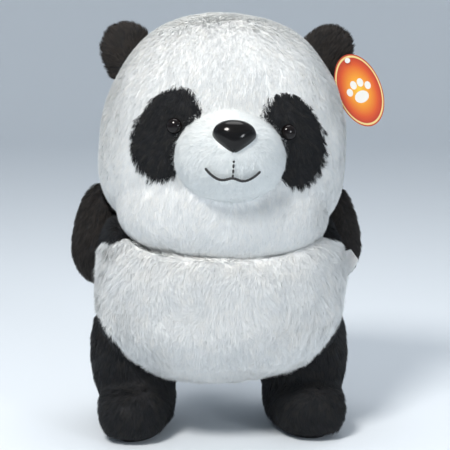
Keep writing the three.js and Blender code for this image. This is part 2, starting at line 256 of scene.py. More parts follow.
PLAIN, COLD, WARM = (1, 1, 1), (0.6, 0.65, 0.75), (0.7, 0.65, 0.6)
WHITE = pile_tints(
    "white",
    ((0.87, 0.885, 0.88), 0.95, 0.1, PLAIN),
    ((0.835, 0.85, 0.85), 0.95, 0.1, PLAIN),
    ((0.79, 0.81, 0.815), 0.95, 0.1, PLAIN),
    ((0.89, 0.89, 0.87), 0.95, 0.1, PLAIN),
)
BLACK = pile_tints(
    "black",
    ((0.014, 0.015, 0.017), 0.7, 0.04, COLD),
    ((0.019, 0.019, 0.021), 0.7, 0.04, COLD),
    ((0.009, 0.010, 0.012), 0.65, 0.03, COLD),
    ((0.026, 0.025, 0.024), 0.75, 0.04, WARM),
)
# The muzzle's pile is shorn closer. Its tints are a cooler, greyer copy of the white: painted shade over
# the muzzle.
SHADED_MUZZLE_WHITE = pile_tints(
    "shaded_white",
    ((0.795, 0.825, 0.825), 0.95, 0.08, PLAIN),
    ((0.755, 0.79, 0.795), 0.95, 0.08, PLAIN),
    ((0.82, 0.845, 0.84), 0.95, 0.08, PLAIN),
)
# The ears' and arms' pile is a little browner and lighter than the rest.
BROWN_BLACK = pile_tints(
    "brown_black",
    ((0.026, 0.022, 0.020), 0.75, 0.04, WARM),
    ((0.034, 0.029, 0.026), 0.75, 0.04, WARM),
    ((0.018, 0.016, 0.015), 0.7, 0.03, WARM),
)
WHITE_CLOTH = mottled("white_cloth", (0.82, 0.84, 0.84), (0.88, 0.885, 0.88), (60, 900), 0.95, 0.0004)
BLACK_CLOTH = mottled("black_cloth", (0.006, 0.006, 0.008), (0.012, 0.012, 0.014), (60, 900), 0.9, 0.0004)
FIBRE = mottled("fibre_stuffing", (0.72, 0.72, 0.70), (0.88, 0.88, 0.86), (90, 700), 1.0, 0.0008)
THREAD = mottled("black_thread", (0.008, 0.008, 0.009), (0.022, 0.021, 0.022), (400, 2500), 0.55, 0.0002)
# The muzzle's cloth is a darker, cooler copy of the white cloth: painted shade.
SHADED_MUZZLE_CLOTH = mottled("shaded_white_cloth", (0.75, 0.785, 0.79), (0.80, 0.83, 0.825), (60, 900), 0.95, 0.0004)
GLOSS = glossy_material("glossy_black", (0.004, 0.0035, 0.0035), 0.13, 0.28)
EYE_GLOSS = glossy_material("eye_brown_black", (0.005, 0.003, 0.003), 0.07, 0.3)
WASHER = mottled("washer_plastic", (0.55, 0.55, 0.53), (0.65, 0.65, 0.62), (120, 500), 0.5, 0.0001)
RIBBON = mottled("satin_ribbon", (0.78, 0.79, 0.80), (0.86, 0.87, 0.87), (300, 1800), 0.38, 0.0001)
CLEAR = glossy_material("tack_plastic", (0.72, 0.72, 0.70), 0.35, 0.5)


# ---------------------------------------------------------------------------------------------
# Shapes in numbers


class Egg:
    """A rounded solid with half sizes in millimetres, whose upper and lower halves may differ."""

    def __init__(self, centre, x, y, top, bottom, power, turn=None):
        self.centre = own(*centre)
        self.x, self.y, self.top, self.bottom = x * MM, y * MM, top * MM, bottom * MM
        self.power = power
        self.turn = np.eye(3) if turn is None else np.array(turn)

    def level(self, points, grow=0.0):
        """Below 1 inside the egg, 1 on its surface."""
        local = (points - self.centre) @ self.turn
        height = np.where(local[:, 2] > 0, self.top, self.bottom) + grow
        parts = (local[:, 0] / (self.x + grow), local[:, 1] / (self.y + grow), local[:, 2] / height)
        return sum(np.abs(part) ** self.power for part in parts) ** (1 / self.power)

    def skin(self, directions):
        """The points where directions from the middle meet the surface."""
        far = self.centre + directions @ self.turn.T
        return self.centre + (far - self.centre) / self.level(far)[:, None]

    def net(self, ball):
        """The surface as points and triangles, from a ball's directions and triangles."""
        return self.skin(ball[0]), ball[1]

    def push_out(self, points, room):
        """Points that lie inside the egg, grown by room, moved straight out to its surface."""
        level = np.maximum(self.level(points, room), 1e-6)
        inside = level < 1
        moved = self.centre + (points - self.centre) / level[:, None]
        return np.where(inside[:, None], moved, points)

    def pull_in(self, points, room):
        """Points that lie outside the egg, shrunk by room, moved straight in to its surface."""
        level = np.maximum(self.level(points, -room), 1.0)
        return self.centre + (points - self.centre) / level[:, None]

    def press_down(self, points, room):
        """Points inside or above the egg's lower half lowered to just under it."""
        part = np.abs((points[:, 0] - self.centre[0]) / self.x) ** self.power
        part += np.abs((points[:, 1] - self.centre[1]) / self.y) ** self.power
        under = self.centre[2] - self.bottom * np.maximum(0, 1 - part) ** (1 / self.power) - room
        lowered = points.copy()
        lowered[:, 2] = np.where(part < 1, np.minimum(points[:, 2], under), points[:, 2])
        return lowered

    def front(self, x, z):
        """The y of the front surface at x and z, which are in metres from the middle line and the floor."""
        height = np.where(z > self.centre[2], self.top, self.bottom)
        part = np.abs((x - self.centre[0]) / self.x) ** self.power
        part += np.abs((z - self.centre[2]) / height) ** self.power
        return self.centre[1] - self.y * np.maximum(0, 1 - part) ** (1 / self.power)


def turn_about(axis, degrees):
    return np.array(Matrix.Rotation(math.radians(degrees), 3, axis))


HEAD = Egg((0, 0, 242), 109, 93, 131, 74, 2.35)
CHIN = Egg((0, -38, 207.5), 92, 58, 42, 48, 2.4)
MUZZLE = Egg((0, -88, 255), 45, 38, 40, 34, 2.1)
TRUNK = Egg((0, 0, 134), 110.5, 95, 92, 84, 2.6)
TAIL = Egg((0, 104, 92), 16, 14, 15, 15, 2)
NOSE = Egg((0, -118, 277.5), 18, 13, 12.5, 15.5, 2.2)
EYE = {"x": 47.5, "z": 279.5, "radius": 6.7, "bulge": 4.6}

# The soft neck lets the head lean a little to the toy's left.
NECK = Matrix.Translation(Vector(own(0, 0, 200)))
LEAN = NECK @ Matrix.Rotation(math.radians(3.5), 4, "Y") @ NECK.inverted()


def head_piece(obj, body):
    """Leans a piece with the head, and lets it ride on its body."""
    obj.matrix_world = LEAN @ obj.matrix_world
    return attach(obj, body)


def wobble(points, size, seed):
    """Smooth random vectors from -1 to 1 that change over about the given size in metres."""
    rng = np.random.default_rng(seed)
    total = np.zeros_like(points)
    waves = 7
    for _ in range(waves):
        direction = rng.normal(size=3)
        direction *= 2 * math.pi / size / np.linalg.norm(direction) * rng.uniform(0.6, 1.5)
        phase = rng.uniform(0, 2 * math.pi, 3)
        total += np.sin((points @ direction)[:, None] + phase)
    return total / math.sqrt(waves) * 0.8


def unit(vectors):
    return vectors / np.maximum(np.linalg.norm(vectors, axis=1), 1e-9)[:, None]


def across(vectors, normals):
    """The part of the vectors that lies along the surface, at unit length."""
    return unit(vectors - np.sum(vectors * normals, axis=1)[:, None] * normals)


# ---------------------------------------------------------------------------------------------
# Meshes


def points_and_triangles(net):
    """A bmesh as arrays. The bmesh is freed."""
    bmesh.ops.triangulate(net, faces=net.faces)
    points = np.array([v.co[:] for v in net.verts])
    faces = np.array([[v.index for v in f.verts] for f in net.faces])
    net.free()
    return points, faces


def ball_directions(subdivisions):
    """A fine round net: unit directions and triangles."""
    net = bmesh.new()
    bmesh.ops.create_icosphere(net, subdivisions=subdivisions, radius=1)
    directions, faces = points_and_triangles(net)
    return unit(directions), faces


BALL = ball_directions(6)
SMALL_BALL = ball_directions(5)
TINY_BALL = ball_directions(4)


def mesh_object(name, points, faces, material):
    mesh = bpy.data.meshes.new(name)
    mesh.from_pydata(points.tolist(), [], [list(map(int, face)) for face in faces])
    mesh.materials.append(material)
    mesh.shade_smooth()
    return add_object(name, mesh)


def point_normals(points, faces):
    """Smooth normals at the points of a triangle net."""
    corners = points[faces]
    flat = np.cross(corners[:, 1] - corners[:, 0], corners[:, 2] - corners[:, 0])
    normals = np.zeros_like(points)
    for corner in range(3):
        np.add.at(normals, faces[:, corner], flat)
    return unit(normals)


def smoothed(points, faces, rounds):
    """The net with its points drawn towards their neighbours."""
    edges = np.vstack([faces[:, [0, 1]], faces[:, [1, 2]], faces[:, [2, 0]]])
    count = np.zeros(len(points))
    np.add.at(count, edges[:, 0], 1)
    np.add.at(count, edges[:, 1], 1)
    for _ in range(rounds):
        total = np.zeros_like(points)
        np.add.at(total, edges[:, 0], points[edges[:, 1]])
        np.add.at(total, edges[:, 1], points[edges[:, 0]])
        points = points * 0.4 + total / count[:, None] * 0.6
    return points


def remeshed(nets, voxel):
    """Several closed nets joined into one skin of small even faces."""
    points = np.vstack([net[0] for net in nets])
    shifts = np.cumsum([0] + [len(net[0]) for net in nets[:-1]])
    faces = np.vstack([net[1] + shift for net, shift in zip(nets, shifts)])
    obj = mesh_object("scratch", points, faces, THREAD)
    modifier = obj.modifiers.new("remesh", "REMESH")
    modifier.mode = "VOXEL"
    modifier.voxel_size = voxel
    evaluated = obj.evaluated_get(bpy.context.evaluated_depsgraph_get())
    mesh = bpy.data.meshes.new_from_object(evaluated)
    bpy.data.objects.remove(obj)
    net = bmesh.new()
    net.from_mesh(mesh)
    bpy.data.meshes.remove(mesh)
    return points_and_triangles(net)


def lumpy(points, faces, amount, size, seed):
    """The net with soft dents and bulges, as stuffed cloth has. The amount is in metres."""
    normals = point_normals(points, faces)
    shift = wobble(points, size, seed)[:, 0] + 0.4 * wobble(points, size / 3, seed + 1)[:, 0]
    return points + normals * (shift * amount)[:, None]


def tree_of(points):
    """A tree that finds the nearest of the points."""
    tree = kdtree.KDTree(len(points))
    for i, point in enumerate(points):
        tree.insert(point, i)
    tree.balance()
    return tree


def near_any(nets, points, reach):
    """Whether each point lies within reach of one of the nets."""
    near = np.zeros(len(points), bool)
    for net_points, net_faces in nets:
        tree = BVHTree.FromPolygons(net_points.tolist(), net_faces.tolist())
        low, high = net_points.min(axis=0) - reach, net_points.max(axis=0) + reach
        for i in np.flatnonzero(np.all((points > low) & (points < high), axis=1)):
            near[i] = near[i] or tree.find_nearest(points[i], reach)[0] is not None
    return near


def part_of(points, faces, keep):
    """The faces whose middles are kept, with their own points."""
    faces = faces[keep(points[faces].mean(axis=1))]
    used, renumbered = np.unique(faces, return_inverse=True)
    return points[used], renumbered.reshape(faces.shape)


def thicken(obj, thickness):
    """Gives a sheet of cloth its thickness, towards the inside."""
    modifier = obj.modifiers.new("cloth", "SOLIDIFY")
    modifier.thickness = thickness
    modifier.offset = -1


# ---------------------------------------------------------------------------------------------
# Pile


def scatter(points, faces, per_area, rng, keep):
    """Roots spread over a net: their places and normals. per_area is in roots for each square metre."""
    normals = point_normals(points, faces)
    corners = points[faces]
    crosses = np.cross(corners[:, 1] - corners[:, 0], corners[:, 2] - corners[:, 0])
    expected = np.linalg.norm(crosses, axis=1) / 2 * per_area
    counts = np.floor(expected + rng.random(len(expected))).astype(int)
    chosen = np.repeat(np.arange(len(faces)), counts)
    a, b = rng.random((2, len(chosen)))
    flip = a + b > 1
    a, b = np.where(flip, 1 - a, a), np.where(flip, 1 - b, b)
    share = np.stack([1 - a - b, a, b], axis=1)[:, :, None]
    roots = np.sum(points[faces[chosen]] * share, axis=1)
    out = unit(np.sum(normals[faces[chosen]] * share, axis=1))
    kept = keep(roots)
    return roots[kept], out[kept]


def tufts(roots, every, rng):
    """For each root, the number of the root that leads its tuft."""
    leaders = rng.choice(len(roots), max(1, len(roots) // every), replace=False)
    tree = tree_of(roots[leaders])
    return np.array([leaders[tree.find(root)[1]] for root in roots])


# How the kinds of pile grow: a blade's length and width in millimetres, the blades on a square metre, how
# steeply they stand, how many share a tuft, and how far they lean to its leader.
HEAD_GROWTH = (6.5, 0.6, 1_800_000, 0.36, 30, 0.35)
PATCH_GROWTH = (7, 0.7, 2_200_000, 0.42, 26, 0.5)
MUZZLE_GROWTH = (5.2, 0.55, 2_200_000, 0.35, 20, 0.3)
EAR_GROWTH = (6.5, 0.7, 1_800_000, 0.4, 28, 0.5)
LIMB_GROWTH = (7.5, 0.7, 1_500_000, 0.4, 36, 0.5)
TAIL_GROWTH = (10, 0.7, 1_600_000, 0.8, 30, 0.4)
# The trunk's pile has a length for each piece.
TRUNK_GROWTH = (0.6, 2_200_000, 0.5, 70, 0.32)


def make_pile(name, net, tints, seed, growth, comb, keep, shorten=None, swirl=0.35, rough=0.12, short=True):
    """Pile on a net, one blade for each root, with the tints at random, grown as the lines above say. comb
    gives the way the pile lies and swirl is how far it strays. shorten scales the length by place, rough is
    how much the blades' shading differs from the skin's, and a short blade is a single triangle."""
    length, width, per_area, rise, every, pull = growth
    length, width = length * MM, width * MM
    rng = np.random.default_rng(seed)
    roots, out = scatter(*net, per_area, rng, keep)
    count = len(roots)
    stray = swirl * wobble(roots, 0.045, seed + 5) + 0.5 * swirl * wobble(roots, 0.015, seed + 6)
    lie = across(comb(roots) + stray + 0.22 * rng.normal(size=(count, 3)), out)
    size = length * rng.uniform(0.7, 1.15, count) * (1 if shorten is None else shorten(roots))
    size = size[:, None]
    lift = rise * rng.uniform(0.75, 1.3, count)[:, None]
    first = unit(out * lift + lie * (1 - 0.5 * lift))
    second = unit(out * lift * 0.45 + lie)
    middle = roots + first * size * 0.5
    straight = middle + second * size * 0.5
    leader = tufts(roots, every, rng)
    tips = straight + (straight[leader] - straight) * (pull * rng.uniform(0.4, 1.0, count))[:, None]
    middle = middle + (tips - straight) * 0.4
    side = unit(np.cross(lie, out) + 0.35 * rng.normal(size=(count, 3)))
    half = (width / 2 * rng.uniform(0.75, 1.25, count))[:, None]
    base = roots - out * 0.0004
    shade = unit(out + rough * rng.normal(size=(count, 3)))
    bent = unit(shade + rough * first)
    own_tint = rng.integers(0, len(tints), count)
    tint_of = np.where(rng.random(count) < 0.5, own_tint[leader], own_tint)
    if short:
        rows, normals = [base - side * half, base + side * half, tips], [shade, shade, bent]
        corners = [[0, 1, 2]]
    else:
        left, right, narrow = base - side * half, base + side * half, side * half * 0.8
        rows = [left, right, middle + narrow, middle - narrow, tips]
        normals = [shade, shade, bent, bent, bent]
        corners = [[0, 1, 2, 3], [3, 2, 4]]
    points = np.stack(rows, axis=1).reshape(-1, 3)
    return blade_object(name, points, np.stack(normals, axis=1).reshape(-1, 3), corners, tints, tint_of)


def blade_object(name, points, normals, corners, tints, tint_of):
    """A mesh of blades that are all alike: corners gives the points of each face of one blade."""
    count, each = len(tint_of), len(points) // len(tint_of)
    one = np.concatenate(corners)
    sizes = [len(face) for face in corners]
    loops = (np.arange(count)[:, None] * each + one).reshape(-1)
    begins = (np.arange(count)[:, None] * len(one) + np.cumsum([0] + sizes[:-1])).reshape(-1)
    mesh = bpy.data.meshes.new(name)
    mesh.vertices.add(len(points))
    mesh.vertices.foreach_set("co", points.astype(np.float32).reshape(-1))
    mesh.loops.add(len(loops))
    mesh.loops.foreach_set("vertex_index", loops.astype(np.int32))
    mesh.polygons.add(len(begins))
    mesh.polygons.foreach_set("loop_start", begins.astype(np.int32))
    for tint in tints:
        mesh.materials.append(tint)
    mesh.polygons.foreach_set("material_index", np.repeat(tint_of, len(corners)).astype(np.int32))
    mesh.update(calc_edges=True)
    mesh.polygons.foreach_set("use_smooth", np.ones(len(begins), bool))
    mesh.normals_split_custom_set_from_vertices(normals.tolist())
    return add_object(name, mesh)


def downwards(points):
    return np.tile([0.0, 0.0, -1.0], (len(points), 1))


# ---------------------------------------------------------------------------------------------
# Head


PATCH = {"x": 52, "z": 274, "half_width": 26.5, "half_height": 39.5, "lean": 19, "inner_cut": 0.3}


def patch_level(points, side):
    """Below 1 inside an eye patch's outline, as seen from the front."""
    x = (points[:, 0] - OWN.x) * side / MM - PATCH["x"]
    z = points[:, 2] / MM - PATCH["z"]
    lean = math.radians(PATCH["lean"])
    wide = x * math.cos(lean) + z * math.sin(lean)
    high = -x * math.sin(lean) + z * math.cos(lean)
    angle = np.arctan2(high / PATCH["half_height"], wide / PATCH["half_width"])
    cut = 1 - PATCH["inner_cut"] * np.maximum(0, -np.cos(angle)) ** 3 * (0.5 - 0.5 * np.sin(angle))
    cut *= 1 - 0.1 * np.sin(angle)
    far = np.hypot(wide / (PATCH["half_width"] * cut), high / PATCH["half_height"])
    return np.where(points[:, 1] < OWN.y, far, 9.0)


def ragged(points, side, amount):
    """The patch's level with a furry edge."""
    return patch_level(points, side) + amount * wobble(points, 0.006, 40 + side)[:, 0]


def face_net():
    """The skull's dome, the jowls under it and the muzzle, grown into one soft skin."""
    points, faces = remeshed([lump.net(SMALL_BALL) for lump in (HEAD, CHIN, MUZZLE)], 2.6 * MM)
    return lumpy(smoothed(points, faces, 5), faces, 0.8 * MM, 0.07, 3), faces


def on_muzzle_side(points, grow=2.0 * MM):
    """Which points belong to the muzzle and not to the head."""
    return (MUZZLE.level(points, grow) < 1) & (points[:, 1] < MUZZLE.centre[1] + 4 * MM)


def make_head(net):
    neck_radius, neck_top = 62 * MM, 200 * MM
    crown, brow, brow_band = own(0, 48, 380), 240 * MM, 60 * MM

    def on_head(p):
        in_neck = np.hypot(*(p - OWN_MIDDLE)[:, :2].T) < neck_radius
        return ~(in_neck & (p[:, 2] < neck_top)) & ~on_muzzle_side(p)

    skin = mesh_object("head_cover_cloth", *part_of(*net, on_head), WHITE_CLOTH)
    thicken(skin, 2.0 * MM)
    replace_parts(head_piece(skin, "head"), "head_cover")

    def bare(p):
        """Where white pile grows: not on the patches, nor so close above one that it would hang over it."""
        drops = [(side, UP * drop * MM) for side, _ in SIDES for drop in (0.0, 3.0)]
        covered = [ragged(p - drop, side, 0.05) < 0.98 for side, drop in drops]
        return ~np.any(covered, axis=0) & on_head(p)

    def comb(p):
        """Down the face and the back, and away from the crown above the brow."""
        high = np.clip((p[:, 2:] - brow) / brow_band, 0, 1)
        return downwards(p) + (p - crown) * [14.0, 14.0, 0.0] * high

    middle_y = HEAD.centre[1]
    halves = [
        ("head_pile_front", 11, lambda p: bare(p) & (p[:, 1] < middle_y)),
        ("head_pile_back", 12, lambda p: bare(p) & (p[:, 1] >= middle_y)),
    ]
    for name, seed, keep in halves:
        fur = make_pile(name, net, WHITE, seed, HEAD_GROWTH, comb, keep)
        head_piece(fur, "head")
    for side, word in SIDES:
        make_patch(net, side, word)
        make_eye(side, word)
        make_washer(f"eye_washer_{word}", *eye_seat(side))


def make_patch(net, side, word):
    def inside(p):
        return (patch_level(p, side) < 1.0) & ~on_muzzle_side(p)

    raised = net[0] + point_normals(*net) * 0.5 * MM
    cloth = mesh_object(f"eye_patch_{word}_cloth", *part_of(raised, net[1], inside), BLACK_CLOTH)
    thicken(cloth, 0.4 * MM)
    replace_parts(head_piece(cloth, "head"), f"eye_patch_{word}")

    def comb(p):
        return unit((p - own(side * 40, 0, 330)) * [1.0, 0.0, 1.0])

    eye_place, _ = eye_seat(side)

    def keep(p):
        clear_of_eye = np.linalg.norm(p - eye_place, axis=1) > 5.6 * MM
        return (ragged(p, side, 0.05) < 1.02) & clear_of_eye & ~on_muzzle_side(p, 1.5 * MM)

    fur = make_pile(f"eye_patch_{word}_pile", net, BLACK, 21 + side, PATCH_GROWTH, comb, keep, rough=0.3)
    head_piece(fur, "head")


def eye_seat(side):
    """The place of an eye on the head, and the way it looks out."""
    x, z = own(side * EYE["x"], 0, EYE["z"])[[0, 2]]
    place = np.array([x, float(HEAD.front(x, z)), z])
    step = 0.5 * MM
    slope_x = float(HEAD.front(x + step, z) - HEAD.front(x - step, z)) / (2 * step)
    slope_z = float(HEAD.front(x, z + step) - HEAD.front(x, z - step)) / (2 * step)
    out = unit(np.array([[slope_x, -1.0, slope_z]]))[0]
    return place, out


def lathe(name, profile, place, out, material, sides=40):
    """A round piece turned from (radius, height) points, standing on place and pointing out."""
    angles = np.linspace(0, 2 * math.pi, sides, endpoint=False)
    ring = np.stack([np.cos(angles), np.sin(angles), np.zeros(sides)], axis=1)
    turn = np.array(Vector(out).to_track_quat("Z", "Y").to_matrix())
    rows = [ring * radius + UP * height for radius, height in profile]
    points = np.vstack(rows) @ turn.T + place
    faces = ring_faces(len(profile), sides)
    faces.append(list(range(sides))[::-1])
    faces.append([(len(profile) - 1) * sides + i for i in range(sides)])
    return mesh_object(name, points, faces, material)


def make_eye(side, word):
    """A safety eye: a stem, a thin flange and a high dome."""
    place, out = eye_seat(side)
    radius, bulge = EYE["radius"], EYE["bulge"]
    profile = [(1.8, -9), (1.8, 0.4), (radius - 0.4, 0.6), (radius, 1.1), (radius - 0.1, 1.6)]
    steps = 12
    for i in range(1, steps):
        angle = math.pi / 2 * i / steps
        profile.append(((radius - 0.2) * math.cos(angle), 1.7 + bulge * math.sin(angle)))
    scaled = [(r * MM, h * MM) for r, h in profile]
    eye = lathe(f"eye_{word}_dome", scaled, place + out * 0.9 * MM, out, EYE_GLOSS)
    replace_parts(head_piece(eye, "head"), f"eye_{word}")


def make_washer(node, place, out):
    """A stepped lock washer inside the cover, behind an eye or the nose."""
    collar = [(2.2, -6.6), (3.4, -6.6), (3.6, -6.9)]
    profile = [*collar, (8.4, -6.9), (8.8, -7.2), (8.8, -8.0), (8.4, -8.3), (2.2, -8.3)]
    washer = lathe(f"{node}_ring", [(r * MM, h * MM) for r, h in profile], place, out, WASHER, 32)
    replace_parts(head_piece(washer, "head"), node)


# ---------------------------------------------------------------------------------------------
# Muzzle, nose and mouth

MOUTH = {"z": 241, "half_width": 21.3, "rise": 9.5, "peak": 3.2, "stroke_top": 258}


def mouth_route():
    """The smile's and the upright stitch's points, as x and z in millimetres from the middle line."""
    smile = []
    steps = 40
    for i in range(steps + 1):
        share = -1 + 2 * i / steps
        height = MOUTH["rise"] * abs(share) ** 2.6 + MOUTH["peak"] * math.exp(-((share / 0.3) ** 2))
        smile.append((MOUTH["half_width"] * share, MOUTH["z"] + height))
    low = MOUTH["z"] + MOUTH["peak"]
    upright = [(0, low + (MOUTH["stroke_top"] - low) * i / 16) for i in range(17)]
    return smile, upright


def on_muzzle(route, lift):
    """The route's points on the muzzle's skin, raised by a lift in metres, with the outward way there."""
    places, outs = [], []
    for x, z in route:
        at = own(x, 0, z)
        y = float(MUZZLE.front(at[0], at[2]))
        place = np.array([at[0], y, at[2]])
        level = [
            np.sign(place[i] - MUZZLE.centre[i]) * abs((place[i] - MUZZLE.centre[i]) / half) ** 1.2 / half
            for i, half in enumerate((MUZZLE.x, MUZZLE.y, MUZZLE.top))
        ]
        out = unit(np.array([level]))[0]
        places.append(place + out * lift)
        outs.append(out)
    return np.array(places), np.array(outs)


def make_stitches():
    """Short fat stitches of thread: end over end along the smile, spaced and thinner up the middle."""
    points, faces = [], []
    for route, overlap, thick in zip(mouth_route(), (1.2 * MM, -0.9 * MM), (1.25 * MM, 0.95 * MM)):
        places, outs = on_muzzle(route, 3.5 * MM)
        steps = np.linalg.norm(np.diff(places, axis=0), axis=1)
        run = np.concatenate([[0], np.cumsum(steps)])
        stitch, rings, sides = 3.4 * MM, 6, 8
        for begin in np.arange(0, run[-1] - stitch * 0.5, stitch - overlap):
            for ring in range(rings):
                share = ring / (rings - 1)
                at = min(begin + stitch * share, run[-1])
                place = np.array([np.interp(at, run, places[:, k]) for k in range(3)])
                ahead = np.array([np.interp(min(at + MM, run[-1]), run, places[:, k]) for k in range(3)])
                back = np.array([np.interp(max(at - MM, 0), run, places[:, k]) for k in range(3)])
                along = unit((ahead - back)[None])[0]
                out = unit(np.array([[np.interp(at, run, outs[:, k]) for k in range(3)]]))[0]
                side = np.cross(along, out)
                radius = (0.35 + 0.65 * math.sin(math.pi * (0.12 + 0.76 * share))) * thick
                for i in range(sides):
                    angle = 2 * math.pi * i / sides
                    points.append(place + (side * math.cos(angle) + out * math.sin(angle) * 0.8) * radius)
            start = len(points) - rings * sides
            faces += ring_faces(rings, sides, start)
            faces.append([start + i for i in range(sides)][::-1])
            faces.append([start + (rings - 1) * sides + i for i in range(sides)])
    thread = mesh_object("mouth_thread", np.array(points), faces, THREAD)
    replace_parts(head_piece(thread, "head"), "mouth_stitching")


def nose_net():
    points, faces = NOSE.net(SMALL_BALL)
    local = points - NOSE.centre
    fall = np.clip(-local[:, 2] / NOSE.bottom, 0, 1)
    local[:, 0] *= 1 - 0.6 * fall**1.25
    return local @ turn_about("X", -26).T + NOSE.centre, faces


def make_muzzle(net):
    # The muzzle's skin takes the darker, cooler copy of the white cloth: painted shade.
    skin = mesh_object("muzzle_cover_cloth", *part_of(*net, on_muzzle_side), SHADED_MUZZLE_CLOTH)
    thicken(skin, 2.0 * MM)
    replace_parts(head_piece(skin, "head"), "muzzle_cover")

    nose_points, nose_faces = nose_net()
    nose = mesh_object("nose_button", nose_points, nose_faces, GLOSS)
    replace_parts(head_piece(nose, "head"), "nose")
    make_washer("nose_washer", NOSE.centre, unit(np.array([[0.0, -1.0, 0.3]]))[0])
    make_stitches()

    tree = tree_of(np.vstack([on_muzzle(route, 0)[0] for route in mouth_route()]))

    def keep(p):
        return on_muzzle_side(p) & (NOSE.level(p, -3 * MM) > 1)

    def near_thread(p):
        gap = np.array([tree.find(point)[2] for point in p])
        return np.clip(0.25 + gap / (5 * MM), 0.25, 1)

    def comb(p):
        return unit(p - own(0, -125, 278)) + 0.3 * downwards(p)

    # The muzzle's pile takes the darker, cooler tints: painted shade over the muzzle.
    fur = make_pile("muzzle_pile", net, SHADED_MUZZLE_WHITE, 31, MUZZLE_GROWTH, comb, keep, near_thread, swirl=0.25)
    head_piece(fur, "head")


# ---------------------------------------------------------------------------------------------
# Ears


def ear_net(side):
    ear = Egg((side * 85.5, 14, 334 + side * 4), 23, 7, 31, 31, 2.2, turn_about("Y", side * 30))
    points, faces = ear.net(SMALL_BALL)
    # The ear is cupped: its middle sits back from its rim.
    local = (points - ear.centre) @ ear.turn
    radius = np.hypot(local[:, 0], local[:, 2]) / (27 * MM)
    points[:, 1] += 4.0 * MM * (1 - radius**2).clip(0) - 2.0 * MM * (radius**2).clip(0, 1)
    points = HEAD.push_out(points, -1.5 * MM)
    return lumpy(points, faces, 0.5 * MM, 0.03, 50 + side), faces


def make_ear(side, word):
    net = ear_net(side)
    skin = mesh_object(f"ear_{word}_cloth", *net, BLACK_CLOTH)
    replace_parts(head_piece(skin, f"ear_{word}"), f"ear_{word}")

    def comb(p):
        return (p - own(side * 70, 14, 320)) * [1.0, 0.2, 1.0] / (30 * MM)

    def keep(p):
        return HEAD.level(p, 0.0) > 1

    fur = make_pile(f"ear_{word}_pile", net, BROWN_BLACK, 61 + side, EAR_GROWTH, comb, keep, rough=0.3)
    head_piece(fur, f"ear_{word}")


# ---------------------------------------------------------------------------------------------
# Trunk


def yoke_edge(points):
    """The height of the yoke's lower edge at each point: it falls from the front to the back."""
    front_y, depth, front_z, fall = -80, 170, 188, 38
    y = (points[:, 1] - OWN.y) / MM
    return (front_z - fall * (y - front_y) / depth) * MM


def trunk_net():
    points, faces = TRUNK.net(BALL)
    low = np.clip((120 * MM - points[:, 2]) / (60 * MM), 0, 1)
    front = np.clip(-(points[:, 1] - OWN.y) / TRUNK.y, 0, 1)
    # The belly hangs forward, low down, and slopes back under the chin.
    points[:, 1] -= 4.0 * MM * low * (1 - low) * 4 * front
    rise = np.clip((points[:, 2] - 148 * MM) / (45 * MM), 0, 1)
    inner = np.clip(1 - ((points[:, 0] - OWN.x) / (100 * MM)) ** 2, 0, 1)
    points[:, 1] += 14 * MM * rise * rise * (3 - 2 * rise) * front * inner
    for lump in (CHIN, HEAD):
        points = lump.press_down(points, 2.0 * MM)
    points = lumpy(smoothed(points, faces, 4), faces, 1.6 * MM, 0.08, 71)
    points = lumpy(points, faces, 0.5 * MM, 0.026, 75)
    # The skin sinks a little under the arms and legs, so that it never comes through theirs.
    sunk = np.zeros(len(points))
    for side, _ in SIDES:
        for egg in (arm_egg(side), *leg_eggs(side)):
            sunk = np.maximum(sunk, np.clip((1.05 - egg.level(points, 0.0)) / 0.07, 0, 1))
    return points - point_normals(points, faces) * 4.5 * MM * sunk[:, None], faces


def make_trunk(limbs):
    net = trunk_net()
    seam_y = OWN.y + 14 * MM

    def on_yoke(p):
        return p[:, 2] > yoke_edge(p)

    pieces = [
        ("belly_cover", "white_plush", WHITE_CLOTH, lambda p: ~on_yoke(p) & (p[:, 1] < seam_y)),
        ("back_cover", "white_plush", WHITE_CLOTH, lambda p: ~on_yoke(p) & (p[:, 1] >= seam_y)),
        ("shoulder_yoke", "black_plush", BLACK_CLOTH, on_yoke),
    ]
    for node, slot, material, keep in pieces:
        skin = mesh_object(f"{node}_cloth", *part_of(*net, keep), material)
        thicken(skin, 1.5 * MM)
        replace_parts(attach(skin, "trunk"), node)

    def seen(p):
        return (HEAD.level(p, MM) > 1) & (CHIN.level(p, MM) > 1) & ~near_any(limbs, p, 4 * MM)

    def is_white(p):
        return p[:, 2] <= yoke_edge(p) + 1.5 * MM * wobble(p, 0.01, 77)[:, 0]

    piles = [
        ("belly_pile", WHITE, "white_plush", 72, 9.5, lambda p: seen(p) & is_white(p) & (p[:, 1] < seam_y)),
        ("back_pile", WHITE, "white_plush", 74, 9.5, lambda p: seen(p) & is_white(p) & (p[:, 1] >= seam_y)),
        ("yoke_pile", BLACK, "black_plush", 73, 8, lambda p: seen(p) & ~is_white(p)),
    ]
    for name, tints, slot, seed, length, keep in piles:
        growth, rough = (length, *TRUNK_GROWTH), 0.1 if tints is WHITE else 0.3
        fur = make_pile(name, net, tints, seed, growth, downwards, keep, swirl=0.5, rough=rough)
        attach(fur, "trunk")


def make_tail():
    points, faces = TAIL.net(TINY_BALL)
    points = lumpy(points, faces, 0.6 * MM, 0.02, 81)
    net = (TRUNK.push_out(points, -1.0 * MM), faces)
    skin = mesh_object("tail_cloth", *net, WHITE_CLOTH)
    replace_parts(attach(skin, "trunk"), "tail")

    def keep(p):
        return TRUNK.level(p, 0.0) > 1

    fur = make_pile("tail_pile", net, WHITE, 82, TAIL_GROWTH, downwards, keep, short=False)
    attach(fur, "trunk")


# ---------------------------------------------------------------------------------------------
# Arms and legs


def arm_egg(side):
    return Egg((side * 104, 36, 171), 28, 31, 50, 45, 2.15, turn_about("Y", -side * 10))


